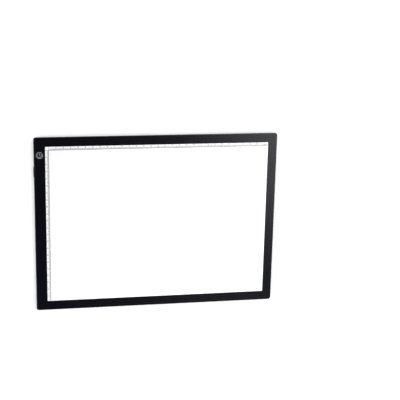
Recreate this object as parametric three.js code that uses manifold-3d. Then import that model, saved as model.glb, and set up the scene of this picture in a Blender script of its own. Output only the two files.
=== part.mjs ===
// LED tracing pad: a lit panel in a slim black case of two mouldings, lying on four rubber feet.
// Millimetres. +X is to the right, +Y towards the edge with the long ruler, +Z out of the lit face.
// The origin lies under the middle of the outline, on the surface that the feet stand on.

import * as THREE from 'three';
import { mergeVertices } from 'three/addons/utils/BufferGeometryUtils.js';
import Module from 'manifold-3d';

const wasm = await Module();
wasm.setup();

// Window and the borders round it, seen from the front
const windowWidth = 310;
const windowDepth = 222;
const windowCorner = 0.3;
const windowChamfer = 0.2;
const borderLeft = 15.6;
const borderRight = 12.9;
const borderTop = 13.1;
const borderBottom = 13.4;
const caseCorner = 3.5;
const leastCorner = 0.3;

// Layers, from the feet up to the front
const footProud = 1;
const coverWall = 1.1;
const reflectorThickness = 0.2;
const guideThickness = 1.8;
const diffuserThickness = 0.2;
const flangeThickness = 0.85;
const tapeThickness = 0.15;
const bezelPlate = 0.9;
const panelSetback = 0.1;

// Edges of the two mouldings
const skirtWall = 1.2;
const seamGap = 0.3;
const seamSpace = 1;
const lidGap = 0.1;
const rimWallWidth = 1.2;
const frontEdgeRound = 0.8;
const backEdgeRound = 0.3;
const rimWidth = 3.5;
const bevelWidth = 3.3;
const bevelShiftShare = 0.4;

// Snap hooks of the cover, and the pockets that take them in the bezel
const hookPitch = 56;
const hookLength = 8;
const hookReach = 0.7;
const hookRootShare = 0.8;
const hookTipShare = 0.3;
const hookClearance = 0.3;

// Sheets and the walls that fence them in
const sheetMargin = 3;
const sheetGap = 0.3;
const panelGap = 0.2;
const fenceWall = 1;
const ribPitch = 36;
const ribWall = 0.9;
const ribDrop = 0.4;
const tapeInset = 0.3;
const edgeTapeThickness = 0.15;

// LED strip at the left edge of the light guide
const ledPitch = 6;
const ledLength = 4;
const ledHeight = 1.4;
const ledDepth = 0.8;
const ledGap = 0.1;
const stripThickness = 0.25;
const stripWall = 0.8;
const solderSink = 0.05;

// Control board and touch key
const keyFromWindow = 7.3;
const keyBelowWindowTop = 12;
const boardWidth = 9.1;
const boardInset = 3.1;
const boardAboveKey = 7.5;
const boardLength = 44;
const boardThickness = 0.6;
const boardCorner = 0.6;
const electrodeDiameter = 7;
const electrodeThickness = 0.1;
const electrodeGap = 0.1;
const boardTapeInset = 0.5;
const stakeDiameter = 1.3;
const stakeGap = 0.3;
const stakeHeadDiameter = 2.2;
const stakeHeadHeight = 0.5;
const stakeFromBoardEnd = 1.9;
const stakeSeatGap = 0.1;

// Parts on the board's underside
const chipLength = 2.9;
const chipWidth = 1.6;
const chipHeight = 1.1;
const chipLegPitch = 0.95;
const chipLegWidth = 0.4;
const chipLegReach = 0.6;
const chipLegThickness = 0.15;
const chipTaper = 0.1;
const chipCorner = 0.2;
const chipFromSide = 5.4;
const touchChipBelowKey = 9.5;
const driverBelowSocket = 4.7;
const capacitorLength = 3.2;
const capacitorWidth = 1.6;
const capacitorHeight = 1.2;
const capacitorAboveSocket = 4;

// Supply socket and the block that holds it
const socketFromTop = 48;
const collarProud = 0.6;
const collarWidth = 14;
const collarReach = 6.9;
const collarCorner = 1;
const collarEdgeRound = 0.4;
const collarWall = 0.7;
const socketClearance = 0.2;
const shellWidth = 7.5;
const shellHeight = 2.45;
const shellLength = 5.6;
const shellWall = 0.3;
const shellSetback = 0.3;
const shellChamferShare = 0.34;
const insulatorLength = 1.6;
const insulatorGap = 0.05;
const tongueWidth = 4.4;
const tongueThickness = 0.7;
const tongueLength = 3;
const contactCount = 5;
const contactPitch = 0.65;
const contactWidth = 0.35;
const contactThickness = 0.15;
const contactTail = 1;
const contactSlotGap = 0.08;
const contactTipGap = 0.3;
const tabWidth = 12;
const tabInset = 1.8;
const boardRoomGap = 0.3;

// Leads from the board to the strip
const leadDiameter = 0.9;
const leadSpacing = 1.4;
const leadGap = 0.1;
const leadFromBoardEnd = 4;
const leadRun = 9;
const leadEndGap = 0.25;
const leadNotchWidth = 4.4;
const leadSides = 8;

// Feet and label on the back
const footRadius = 10.8;
const footFromSide = 58.25;
const footFromEnd = 60.25;
const footRecess = 0.4;
const footRecessGap = 0.3;
const footEdgeRound = 0.4;
const labelWidth = 73;
const labelDepth = 40;
const labelThickness = 0.12;
const labelCorner = 1;
const labelShift = -1;

// One overrun serves every cut
const overrun = 1;

// Facets of round stretches
const cornerSteps = 8;
const edgeSteps = 4;
const bevelSteps = 8;
const discSteps = 48;
const smallDiscSteps = 16;
const leadSteps = 14;
const quarterTurn = Math.PI / 2;

// Places that follow from the sizes
const caseWidth = borderLeft + windowWidth + borderRight;
const caseDepth = borderBottom + windowDepth + borderTop;
const caseOutline = {
  left: -caseWidth / 2, right: caseWidth / 2,
  bottom: -caseDepth / 2, top: caseDepth / 2,
  corner: caseCorner,
};
const windowOutline = {
  left: caseOutline.left + borderLeft, right: caseOutline.right - borderRight,
  bottom: caseOutline.bottom + borderBottom, top: caseOutline.top - borderTop,
  corner: windowCorner,
};
const sheetOutline = {
  left: windowOutline.left - sheetMargin, right: windowOutline.right + sheetMargin,
  bottom: windowOutline.bottom - sheetMargin, top: windowOutline.top + sheetMargin,
};

const backZ = footProud;
const floorZ = backZ + coverWall;
const guideZ = floorZ + reflectorThickness;
const diffuserZ = guideZ + guideThickness;
const panelZ = diffuserZ + diffuserThickness;
const flangeTopZ = panelZ + flangeThickness;
const plateZ = flangeTopZ + tapeThickness;
const frontZ = plateZ + bezelPlate;
const rimTopZ = plateZ - seamSpace;
const rimZ = rimTopZ - coverWall;
const lidZ = plateZ - lidGap;

const rimInset = skirtWall + seamGap;
const rimWallInset = rimInset + rimWallWidth;
const boardTopZ = plateZ - tapeThickness;
const boardZ = boardTopZ - boardThickness;
const boardRoomZ = boardZ - socketClearance;
const electrodeZ = boardTopZ - electrodeThickness;
const shellZ = boardZ - shellHeight;
const socketY = caseOutline.top - socketFromTop;
const collarZ = shellZ - socketClearance - collarWall;
const mouthX = caseOutline.left - collarProud + shellSetback;
const keyX = windowOutline.left - keyFromWindow;
const keyY = windowOutline.top - keyBelowWindowTop;
const boardTopY = keyY + boardAboveKey;
const boardBottomY = boardTopY - boardLength;
const boardLeftX = caseOutline.left + boardInset;
const stripFaceX = sheetOutline.left - ledGap - ledDepth;
const stripBackX = stripFaceX - stripThickness;
const leadY = boardBottomY + leadFromBoardEnd - leadRun;

// Materials
const blackAbs = { color: 0x131316, roughness: 0.42, metalness: 0 };
const frostedAcrylic = { color: 0xfbfcff, roughness: 0.5, metalness: 0 };
const clearAcrylic = { color: 0xe8f2f4, roughness: 0.08, metalness: 0 };
const whiteFilm = { color: 0xf4f4f2, roughness: 0.6, metalness: 0 };
const clearTape = { color: 0xd8d4c4, roughness: 0.5, metalness: 0 };
const boardLaminate = { color: 0x1f5a35, roughness: 0.45, metalness: 0 };
const flexibleStrip = { color: 0xf2efe2, roughness: 0.5, metalness: 0 };
const copperFoil = { color: 0xb87245, roughness: 0.35, metalness: 1 };
const chipResin = { color: 0x1b1b1d, roughness: 0.55, metalness: 0 };
const ceramic = { color: 0xb59a73, roughness: 0.5, metalness: 0 };
const nickelSteel = { color: 0xb9babc, roughness: 0.3, metalness: 1 };
const goldPlate = { color: 0xd8b35a, roughness: 0.3, metalness: 1 };
const blackNylon = { color: 0x111112, roughness: 0.5, metalness: 0 };
const redPvc = { color: 0xb01c1c, roughness: 0.45, metalness: 0 };
const blackPvc = { color: 0x161617, roughness: 0.45, metalness: 0 };
const blackRubber = { color: 0x1b1b1c, roughness: 0.85, metalness: 0 };
const whitePaper = { color: 0xecebe8, roughness: 0.5, metalness: 0 };

// A closed geometry as a solid that can be joined and cut
function solidOf(geometry) {
  const bare = geometry.clone();
  bare.deleteAttribute('normal');
  bare.deleteAttribute('uv');
  const welded = mergeVertices(bare);
  return new wasm.Manifold(new wasm.Mesh({
    numProp: 3,
    vertProperties: new Float32Array(welded.attributes.position.array),
    triVerts: new Uint32Array(welded.index.array),
  }));
}

function geometryOf(solid) {
  const { vertProperties, triVerts } = solid.getMesh();
  const geometry = new THREE.BufferGeometry();
  geometry.setAttribute('position', new THREE.BufferAttribute(new Float32Array(vertProperties), 3));
  geometry.setIndex(new THREE.BufferAttribute(new Uint32Array(triVerts), 1));
  geometry.computeVertexNormals();
  return geometry;
}

const joined = (geometries) => geometries.map(solidOf).reduce((whole, piece) => whole.add(piece));

function boxBetween(x0, x1, y0, y1, z0, z1) {
  const box = new THREE.BoxGeometry(x1 - x0, y1 - y0, z1 - z0);
  return box.translate((x0 + x1) / 2, (y0 + y1) / 2, (z0 + z1) / 2);
}

function discBetween(x, y, radius, z0, z1, steps) {
  const disc = new THREE.CylinderGeometry(radius, radius, z1 - z0, steps);
  return disc.rotateX(quarterTurn).translate(x, y, (z0 + z1) / 2);
}

// The outline drawn in by an inset, with its corners turning on ever smaller radii
function outlineRing({ left, right, bottom, top, corner }, inset, z) {
  const radius = Math.max(corner - inset, leastCorner);
  const x0 = left + inset + radius;
  const x1 = right - inset - radius;
  const y0 = bottom + inset + radius;
  const y1 = top - inset - radius;
  const ring = [];
  [[x1, y1], [x0, y1], [x0, y0], [x1, y0]].forEach(([x, y], turn) => {
    for (let step = 0; step <= cornerSteps; step += 1) {
      const angle = (turn + step / cornerSteps) * quarterTurn;
      ring.push(new THREE.Vector3(x + radius * Math.cos(angle), y + radius * Math.sin(angle), z));
    }
  });
  return ring;
}

// A closed body through the outline at [inset, height] levels, listed from the bottom up
function stackedBody(outline, levels) {
  const rings = levels.map(([inset, z]) => outlineRing(outline, inset, z));
  const count = rings[0].length;
  const index = [];
  for (let level = 0; level + 1 < rings.length; level += 1) {
    for (let point = 0; point < count; point += 1) {
      const a = level * count + point;
      const b = level * count + (point + 1) % count;
      index.push(a, b, b + count, a, b + count, a + count);
    }
  }
  const topStart = (rings.length - 1) * count;
  for (const [a, b, c] of THREE.ShapeUtils.triangulateShape(rings[0], [])) {
    index.push(c, b, a, topStart + a, topStart + b, topStart + c);
  }
  return new THREE.BufferGeometry().setFromPoints(rings.flat()).setIndex(index);
}

// Levels of a rounded upper edge, from the side wall to the top face
function upperRound(radius, z) {
  return Array.from({ length: edgeSteps + 1 }, (_, step) => {
    const angle = (step / edgeSteps) * quarterTurn;
    return [radius - radius * Math.cos(angle), z - radius + radius * Math.sin(angle)];
  });
}

const lowerRound = (radius, z) => upperRound(radius, 0).reverse().map(([inset, rise]) => [inset, z - rise]);

// Half a cosine wave from the flat back out to the rim, at a share of the way through the cover's wall
function bevelLevels(wallShare) {
  const shift = coverWall * bevelShiftShare * wallShare;
  const innerZ = backZ + coverWall * wallShare;
  const outerZ = rimZ + coverWall * wallShare;
  return Array.from({ length: bevelSteps + 1 }, (_, step) => {
    const share = step / bevelSteps;
    const inset = rimWidth + bevelWidth * (1 - share) + shift;
    return [inset, innerZ + (outerZ - innerZ) * (1 - Math.cos(Math.PI * share)) / 2];
  });
}

function shapeOf(points) {
  return new THREE.Shape(points.map(([x, y]) => new THREE.Vector2(x, y)));
}

function extruded(shape, length) {
  const options = { depth: length, bevelEnabled: false, curveSegments: cornerSteps };
  return new THREE.ExtrudeGeometry(shape, options);
}

const axisX = new THREE.Vector3(1, 0, 0);
const axisY = new THREE.Vector3(0, 1, 0);
const axisZ = new THREE.Vector3(0, 0, 1);

// A section drawn in Y and Z, run along +X
function alongX(shape, length) {
  return extruded(shape, length).applyMatrix4(new THREE.Matrix4().makeBasis(axisY, axisZ, axisX));
}

// A section drawn in X and Z, run along Y about the plane y = 0
function alongY(shape, length) {
  const basis = new THREE.Matrix4().makeBasis(axisX, axisZ, axisY.clone().negate());
  return extruded(shape, length).translate(0, 0, -length / 2).applyMatrix4(basis);
}

function roundedShape(x0, x1, y0, y1, radius) {
  const shape = new THREE.Shape();
  shape.moveTo(x0 + radius, y0);
  shape.lineTo(x1 - radius, y0);
  shape.absarc(x1 - radius, y0 + radius, radius, -quarterTurn, 0);
  shape.lineTo(x1, y1 - radius);
  shape.absarc(x1 - radius, y1 - radius, radius, 0, quarterTurn);
  shape.lineTo(x0 + radius, y1);
  shape.absarc(x0 + radius, y1 - radius, radius, quarterTurn, 2 * quarterTurn);
  shape.lineTo(x0, y0 + radius);
  shape.absarc(x0 + radius, y0 + radius, radius, 2 * quarterTurn, 3 * quarterTurn);
  return shape;
}

const pad = new THREE.Group();
pad.position.x = collarProud / 2;

function add(name, geometry, look) {
  const mesh = new THREE.Mesh(geometry, new THREE.MeshStandardMaterial(look));
  mesh.name = name;
  pad.add(mesh);
}

const evenly = (length, pitch) => {
  const count = Math.max(Math.round(length / pitch), 1);
  return Array.from({ length: count }, (_, spot) => ((spot + 1 / 2) / count - 1 / 2) * length);
};

// Places of the snap hooks: where on the edge, and which way the edge faces
function hookSpots() {
  const spots = [];
  for (const x of evenly(caseWidth, hookPitch)) {
    spots.push({ x, y: caseOutline.top, turn: quarterTurn });
    spots.push({ x, y: caseOutline.bottom, turn: -quarterTurn });
  }
  for (const y of evenly(caseDepth, hookPitch)) {
    spots.push({ x: caseOutline.right, y, turn: 0 });
    const besideSocket = Math.abs(y - socketY) < (collarWidth + hookLength) / 2 + hookClearance;
    if (!besideSocket) {
      spots.push({ x: caseOutline.left, y, turn: 2 * quarterTurn });
    }
  }
  return spots;
}

// Something drawn at an edge that faces +X, turned and moved to each hook's place
const atHooks = (geometry) => hookSpots().map(
  ({ x, y, turn }) => geometry.clone().rotateZ(turn).translate(x, y, 0),
);

function hookGeometry() {
  const middle = (rimTopZ + lidZ) / 2;
  const tip = hookTipShare * (lidZ - rimTopZ) / 2;
  const root = hookRootShare * (lidZ - rimTopZ) / 2;
  const sunk = -rimInset - rimWallWidth / 2;
  const profile = shapeOf([
    [sunk, middle - root],
    [-rimInset, middle - root],
    [-rimInset + hookReach, middle - tip],
    [-rimInset + hookReach, middle + tip],
    [-rimInset, middle + root],
    [sunk, middle + root],
  ]);
  return alongY(profile, hookLength);
}

function hookPocket() {
  const half = hookLength / 2 + hookClearance;
  const depth = hookReach - seamGap + hookClearance;
  return boxBetween(-skirtWall - overrun, -skirtWall + depth, -half, half, rimTopZ, plateZ);
}

// The bezel's two stakes hold the board: one at its upper end, one behind the socket
const stakeYs = [boardTopY - stakeFromBoardEnd, socketY];

// Front bezel
function bezelGeometry() {
  const levels = [...lowerRound(backEdgeRound, rimZ), ...upperRound(frontEdgeRound, frontZ)];
  const cavity = [[skirtWall, rimZ - overrun], [skirtWall, plateZ]];
  const window = [
    [0, plateZ - overrun],
    [0, frontZ - windowChamfer],
    [-windowChamfer, frontZ],
    [-windowChamfer, frontZ + overrun],
  ];
  const notchHalf = collarWidth / 2 + seamGap;
  const notchX = caseOutline.left - overrun;
  const collarNotch = boxBetween(
    notchX, caseOutline.left + rimInset, socketY - notchHalf, socketY + notchHalf, rimZ - overrun, plateZ,
  );
  const headZ = boardZ - stakeHeadHeight;
  const stakes = stakeYs.flatMap((y) => [
    discBetween(keyX, y, stakeDiameter / 2, headZ, plateZ + bezelPlate / 2, smallDiscSteps),
    discBetween(keyX, y, stakeHeadDiameter / 2, headZ, boardZ - stakeSeatGap, smallDiscSteps),
  ]);
  return geometryOf(
    solidOf(stackedBody(caseOutline, levels))
      .subtract(solidOf(stackedBody(caseOutline, cavity)))
      .subtract(solidOf(stackedBody(windowOutline, window)))
      .subtract(solidOf(collarNotch))
      .subtract(joined(atHooks(hookPocket())))
      .add(joined(stakes)),
  );
}

// Walls on the cover's floor: a fence on three sides of the sheets, and the wall behind the strip
function fenceGeometries() {
  const { left, right, bottom, top } = sheetOutline;
  const inner = { right: right + sheetGap, bottom: bottom - sheetGap, top: top + sheetGap };
  const sunk = floorZ - coverWall / 2;
  const stripWallX = stripBackX - stripWall;
  return [
    boxBetween(left, inner.right + fenceWall, inner.top, inner.top + fenceWall, sunk, lidZ),
    boxBetween(left, inner.right + fenceWall, inner.bottom - fenceWall, inner.bottom, sunk, lidZ),
    boxBetween(
      inner.right, inner.right + fenceWall,
      inner.bottom - fenceWall / 2, inner.top + fenceWall / 2, sunk, lidZ,
    ),
    boxBetween(stripWallX, stripBackX, inner.bottom, leadY - leadNotchWidth / 2, sunk, diffuserZ),
    boxBetween(stripWallX, stripBackX, leadY + leadNotchWidth / 2, inner.top, sunk, diffuserZ),
  ];
}

// Ribs from the fence out to the rim, sunk halfway into the cover's wall
function ribGeometries() {
  const middleWall = bevelLevels(1 / 2);
  const topZ = rimTopZ - ribDrop;
  const rib = (fenceInset) => alongY(shapeOf([
    [-fenceInset, topZ],
    [-fenceInset, middleWall[0][1]],
    ...middleWall.map(([inset, z]) => [-inset, z]).filter(([, z]) => z < topZ),
  ]), ribWall);
  const inset = {
    top: borderTop - sheetMargin - sheetGap - fenceWall / 2,
    bottom: borderBottom - sheetMargin - sheetGap - fenceWall / 2,
    right: borderRight - sheetMargin - sheetGap - fenceWall / 2,
  };
  const placed = (fenceInset, turn, x, y) => rib(fenceInset).rotateZ(turn).translate(x, y, 0);
  const across = evenly(windowWidth, ribPitch).flatMap((x) => [
    placed(inset.top, quarterTurn, x, caseOutline.top),
    placed(inset.bottom, -quarterTurn, x, caseOutline.bottom),
  ]);
  const down = evenly(windowDepth, ribPitch).map((y) => placed(inset.right, 0, caseOutline.right, y));
  return [...across, ...down];
}

// Middles of the feet, each in from the two edges at its corner
const footX = caseOutline.right - footFromSide;
const footY = caseOutline.top - footFromEnd;
const footSpots = {
  foot_top_left: [-footX, footY],
  foot_top_right: [footX, footY],
  foot_bottom_left: [-footX, -footY],
  foot_bottom_right: [footX, -footY],
};

// Back cover
function coverGeometry() {
  const outer = solidOf(stackedBody(caseOutline, [
    ...bevelLevels(0),
    [rimInset, rimZ],
    [rimInset, lidZ],
  ]));
  const inner = solidOf(stackedBody(caseOutline, [
    ...bevelLevels(1),
    [rimWallInset, rimTopZ],
    [rimWallInset, lidZ + overrun],
  ]));
  const collarOutline = {
    left: caseOutline.left - collarProud, right: caseOutline.left + collarReach,
    bottom: socketY - collarWidth / 2, top: socketY + collarWidth / 2,
    corner: collarCorner,
  };
  const collar = stackedBody(collarOutline, [...lowerRound(collarEdgeRound, collarZ), [0, lidZ]]);
  const mouthHalf = shellWidth / 2 + socketClearance;
  const mouth = boxBetween(
    collarOutline.left - overrun, collarOutline.right + overrun,
    socketY - mouthHalf, socketY + mouthHalf, shellZ - socketClearance, boardZ + socketClearance,
  );
  const roomHalf = tabWidth / 2 + boardRoomGap;
  const boardRoom = boxBetween(
    caseOutline.left + tabInset - boardRoomGap, collarOutline.right + overrun,
    socketY - roomHalf, socketY + roomHalf, boardRoomZ, lidZ + overrun,
  );
  const boardSpace = boxBetween(
    boardLeftX - boardRoomGap, collarOutline.right + overrun,
    collarOutline.bottom - overrun, collarOutline.top + overrun, boardRoomZ, lidZ + overrun,
  );
  const recesses = Object.values(footSpots).map(([x, y]) => discBetween(
    x, y, footRadius + footRecessGap, backZ - overrun, backZ + footRecess, discSteps,
  ));
  return geometryOf(
    outer.subtract(inner)
      .add(joined(fenceGeometries()))
      .add(joined(ribGeometries()))
      .add(joined(atHooks(hookGeometry())))
      .add(solidOf(collar))
      .subtract(joined([mouth, boardRoom]))
      .subtract(solidOf(boardSpace))
      .subtract(joined(recesses)),
  );
}

// Sheets, from the floor up
function sheetGeometry(z, thickness) {
  const { left, right, bottom, top } = sheetOutline;
  return boxBetween(left, right, bottom, top, z, z + thickness);
}

function panelGeometry() {
  const raised = [[panelGap, flangeTopZ - flangeThickness / 2], [panelGap, frontZ - panelSetback]];
  return geometryOf(joined([sheetGeometry(panelZ, flangeThickness), stackedBody(windowOutline, raised)]));
}

function addPanelTapes() {
  const { left, right, bottom, top } = sheetOutline;
  const width = sheetMargin - 2 * tapeInset;
  const outer = { left: left + tapeInset, right: right - tapeInset };
  const rows = { bottom: bottom + tapeInset, top: top - tapeInset };
  const strip = (x0, x1, y0, y1) => boxBetween(x0, x1, y0, y1, flangeTopZ, plateZ);
  const betweenY = [rows.bottom + width + tapeInset, rows.top - width - tapeInset];
  add('panel_tape_top', strip(outer.left, outer.right, rows.top - width, rows.top), clearTape);
  add('panel_tape_bottom', strip(outer.left, outer.right, rows.bottom, rows.bottom + width), clearTape);
  add('panel_tape_left', strip(outer.left, outer.left + width, ...betweenY), clearTape);
  add('panel_tape_right', strip(outer.right - width, outer.right, ...betweenY), clearTape);
}

function addEdgeReflectors() {
  const { left, right, bottom, top } = sheetOutline;
  const strip = (x0, x1, y0, y1) => boxBetween(x0, x1, y0, y1, guideZ, diffuserZ);
  add('edge_reflector_top', strip(left, right, top, top + edgeTapeThickness), whiteFilm);
  add('edge_reflector_bottom', strip(left, right, bottom - edgeTapeThickness, bottom), whiteFilm);
  add('edge_reflector_right', strip(right, right + edgeTapeThickness, bottom, top), whiteFilm);
}

// A flexible strip that stands on edge, with its LEDs facing the light guide
function stripGeometry() {
  const { bottom, top } = sheetOutline;
  const ledZ = guideZ + guideThickness / 2;
  const board = boxBetween(stripBackX, stripFaceX, bottom, top, floorZ, diffuserZ);
  const leds = evenly(top - bottom, ledPitch).map((offset) => {
    const y = (bottom + top) / 2 + offset;
    return boxBetween(
      stripFaceX - solderSink, stripFaceX + ledDepth,
      y - ledLength / 2, y + ledLength / 2, ledZ - ledHeight / 2, ledZ + ledHeight / 2,
    );
  });
  return geometryOf(joined([board, ...leds]));
}

// Control board, with a tab that carries the socket
function boardGeometry() {
  const shape = roundedShape(boardLeftX, boardLeftX + boardWidth, boardBottomY, boardTopY, boardCorner);
  const body = extruded(shape, boardThickness).translate(0, 0, boardZ);
  const tab = boxBetween(
    caseOutline.left + tabInset, boardLeftX + boardCorner,
    socketY - tabWidth / 2, socketY + tabWidth / 2, boardZ, boardTopZ,
  );
  const holes = stakeYs.map((y) => discBetween(
    keyX, y, stakeDiameter / 2 + stakeGap, boardZ - overrun, boardTopZ + overrun, smallDiscSteps,
  ));
  const electrodeRoom = discBetween(
    keyX, keyY, electrodeDiameter / 2 + electrodeGap, electrodeZ, boardTopZ + overrun, discSteps,
  );
  return geometryOf(joined([body, tab]).subtract(joined([...holes, electrodeRoom])));
}

function boardTapeGeometry() {
  const shape = roundedShape(
    boardLeftX + boardTapeInset, boardLeftX + boardWidth - boardTapeInset,
    boardBottomY + boardTapeInset, boardTopY - boardTapeInset, boardCorner,
  );
  const body = extruded(shape, tapeThickness).translate(0, 0, boardTopZ);
  const stakeRoom = stakeYs.map((y) => discBetween(
    keyX, y, stakeDiameter / 2 + stakeGap, boardTopZ - overrun, plateZ + overrun, smallDiscSteps,
  ));
  return geometryOf(solidOf(body).subtract(joined(stakeRoom)));
}

// A chip's bent leg on its right side, from inside the moulded body down its side to the board's pad
function legGeometry() {
  const middle = boardZ - chipHeight / 2;
  const half = chipLegThickness / 2;
  const kneeX = chipWidth / 2 + 2 * chipLegThickness;
  const endX = chipWidth / 2 + chipLegReach;
  return alongY(shapeOf([
    [0, middle - half],
    [kneeX, middle - half],
    [kneeX, boardZ - chipLegThickness],
    [endX, boardZ - chipLegThickness],
    [endX, boardZ],
    [kneeX - chipLegThickness, boardZ],
    [kneeX - chipLegThickness, middle + half],
    [0, middle + half],
  ]), chipLegWidth);
}

// A small moulded chip hanging from the board, with legs at both sides
function chipGeometry(y, legCountLeft, legCountRight) {
  const x = boardLeftX + chipFromSide;
  const outline = {
    left: x - chipWidth / 2, right: x + chipWidth / 2,
    bottom: y - chipLength / 2, top: y + chipLength / 2,
    corner: chipCorner,
  };
  const body = stackedBody(outline, [
    [chipTaper, boardZ - chipHeight],
    [0, boardZ - chipHeight / 2],
    [chipTaper, boardZ],
  ]);
  const legs = [[2 * quarterTurn, legCountLeft], [0, legCountRight]].flatMap(([turn, count]) => (
    Array.from({ length: count }, (_, leg) => {
      const legY = y + (leg - (count - 1) / 2) * chipLegPitch;
      return legGeometry().rotateZ(turn).translate(x, legY, 0);
    })
  ));
  return geometryOf(joined([body, ...legs]));
}

// Supply socket: the shell's section, drawn in Y and Z, with its two lower corners cut away
function socketSection(inset) {
  const half = shellWidth / 2 - inset;
  const bottom = shellZ + inset;
  const top = boardZ - inset;
  const cutBack = shellChamferShare * (shellHeight - 2 * inset);
  return shapeOf([
    [socketY - half + cutBack, bottom],
    [socketY + half - cutBack, bottom],
    [socketY + half, bottom + cutBack],
    [socketY + half, top],
    [socketY - half, top],
    [socketY - half, bottom + cutBack],
  ]);
}

function shellGeometry() {
  const section = socketSection(0);
  section.holes.push(socketSection(shellWall));
  return alongX(section, shellLength).translate(mouthX, 0, 0);
}

const insulatorX = mouthX + shellLength - insulatorLength;
const tongueZ = boardZ - shellHeight / 2;
const contactZ = tongueZ - contactThickness;
const contactYs = Array.from(
  { length: contactCount },
  (_, contact) => socketY + (contact - (contactCount - 1) / 2) * contactPitch,
);

function insulatorGeometry() {
  const section = socketSection(shellWall + insulatorGap);
  const block = alongX(section, insulatorLength).translate(insulatorX, 0, 0);
  const tongue = boxBetween(
    insulatorX - tongueLength, insulatorX + insulatorLength / 2,
    socketY - tongueWidth / 2, socketY + tongueWidth / 2, tongueZ, tongueZ + tongueThickness,
  );
  const slots = contactYs.map((y) => boxBetween(
    insulatorX - overrun, insulatorX + insulatorLength + overrun,
    y - contactWidth / 2 - contactSlotGap, y + contactWidth / 2 + contactSlotGap,
    contactZ - contactSlotGap, tongueZ,
  ));
  return geometryOf(joined([block, tongue]).subtract(joined(slots)));
}

// A flat contact under the tongue, bent up behind the insulator to its pad on the board
function contactGeometry(y) {
  const tip = insulatorX - tongueLength + contactTipGap;
  const bend = insulatorX + insulatorLength + contactSlotGap;
  const end = bend + contactTail;
  return alongY(shapeOf([
    [tip, contactZ],
    [bend + contactThickness, contactZ],
    [bend + contactThickness, boardZ - contactThickness],
    [end, boardZ - contactThickness],
    [end, boardZ],
    [bend, boardZ],
    [bend, tongueZ],
    [tip, tongueZ],
  ]), contactWidth).translate(0, y, 0);
}

// A lead from its pad under the board, down the channel and through the wall to the strip's back
function leadGeometry(lane) {
  const radius = leadDiameter / 2;
  const startX = stripBackX - stripWall - leadSpacing * (lane + 1);
  const startY = boardBottomY + leadFromBoardEnd;
  const topZ = boardZ - leadGap - radius;
  const lowZ = floorZ + leadGap + radius;
  const endX = stripBackX - leadEndGap;
  const endY = leadY - (lane - 1 / 2) * leadSpacing;
  const path = new THREE.CatmullRomCurve3([
    new THREE.Vector3(startX, startY, topZ),
    new THREE.Vector3(startX, startY - leadDiameter, topZ),
    new THREE.Vector3(startX, (startY + endY) / 2, (topZ + lowZ) / 2),
    new THREE.Vector3(startX + leadDiameter, endY + leadDiameter / 2, lowZ + leadGap),
    new THREE.Vector3(endX - leadDiameter, endY, lowZ + leadGap),
    new THREE.Vector3(endX, endY, lowZ + leadGap),
  ]);
  const section = shapeOf(Array.from({ length: leadSides }, (_, side) => {
    const angle = (2 * Math.PI * side) / leadSides;
    return [radius * Math.cos(angle), radius * Math.sin(angle)];
  }));
  return new THREE.ExtrudeGeometry(section, { steps: leadSteps, extrudePath: path, bevelEnabled: false });
}

// A rubber foot, flat underneath, with a rounded lower edge
function footGeometry(x, y) {
  const top = footProud + footRecess;
  const edge = lowerRound(footEdgeRound, 0).map(([inset, z]) => [footRadius - inset, z]);
  const points = [[0, 0], ...edge, [footRadius, top], [0, top]];
  const profile = points.map(([radius, z]) => new THREE.Vector2(radius, z));
  return new THREE.LatheGeometry(profile, discSteps).rotateX(quarterTurn).translate(x, y, 0);
}

function labelGeometry() {
  const shape = roundedShape(
    -labelWidth / 2, labelWidth / 2, labelShift - labelDepth / 2, labelShift + labelDepth / 2, labelCorner,
  );
  return extruded(shape, labelThickness).translate(0, 0, backZ - labelThickness);
}

// The assembly
add('front_bezel', bezelGeometry(), blackAbs);
add('back_cover', coverGeometry(), blackAbs);
add('tracing_panel', panelGeometry(), frostedAcrylic);
add('diffuser_film', sheetGeometry(diffuserZ, diffuserThickness), whiteFilm);
add('light_guide', sheetGeometry(guideZ, guideThickness), clearAcrylic);
add('reflector_sheet', sheetGeometry(floorZ, reflectorThickness), whiteFilm);
addPanelTapes();
addEdgeReflectors();
add('led_strip', stripGeometry(), flexibleStrip);

add('control_board', boardGeometry(), boardLaminate);
add('board_tape', boardTapeGeometry(), clearTape);
const electrode = discBetween(keyX, keyY, electrodeDiameter / 2, electrodeZ, boardTopZ, discSteps);
add('touch_electrode', electrode, copperFoil);
add('touch_chip', chipGeometry(keyY - touchChipBelowKey, 3, 3), chipResin);
add('driver_chip', chipGeometry(socketY - driverBelowSocket, 2, 1), chipResin);
const capacitorX = boardLeftX + chipFromSide;
const capacitorY = socketY + capacitorAboveSocket;
const capacitor = boxBetween(
  capacitorX - capacitorWidth / 2, capacitorX + capacitorWidth / 2,
  capacitorY - capacitorLength / 2, capacitorY + capacitorLength / 2, boardZ - capacitorHeight, boardZ,
);
add('input_capacitor', capacitor, ceramic);

add('socket_shell', shellGeometry(), nickelSteel);
add('socket_insulator', insulatorGeometry(), blackNylon);
contactYs.forEach((y, contact) => add(`socket_contact_${contact + 1}`, contactGeometry(y), goldPlate));
add('lead_positive', leadGeometry(0), redPvc);
add('lead_negative', leadGeometry(1), blackPvc);

for (const [name, [x, y]] of Object.entries(footSpots)) {
  add(name, footGeometry(x, y), blackRubber);
}
add('rating_label', labelGeometry(), whitePaper);

export default pad;
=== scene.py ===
import math
import bmesh
import bpy
from mathutils import Matrix, Vector


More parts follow.
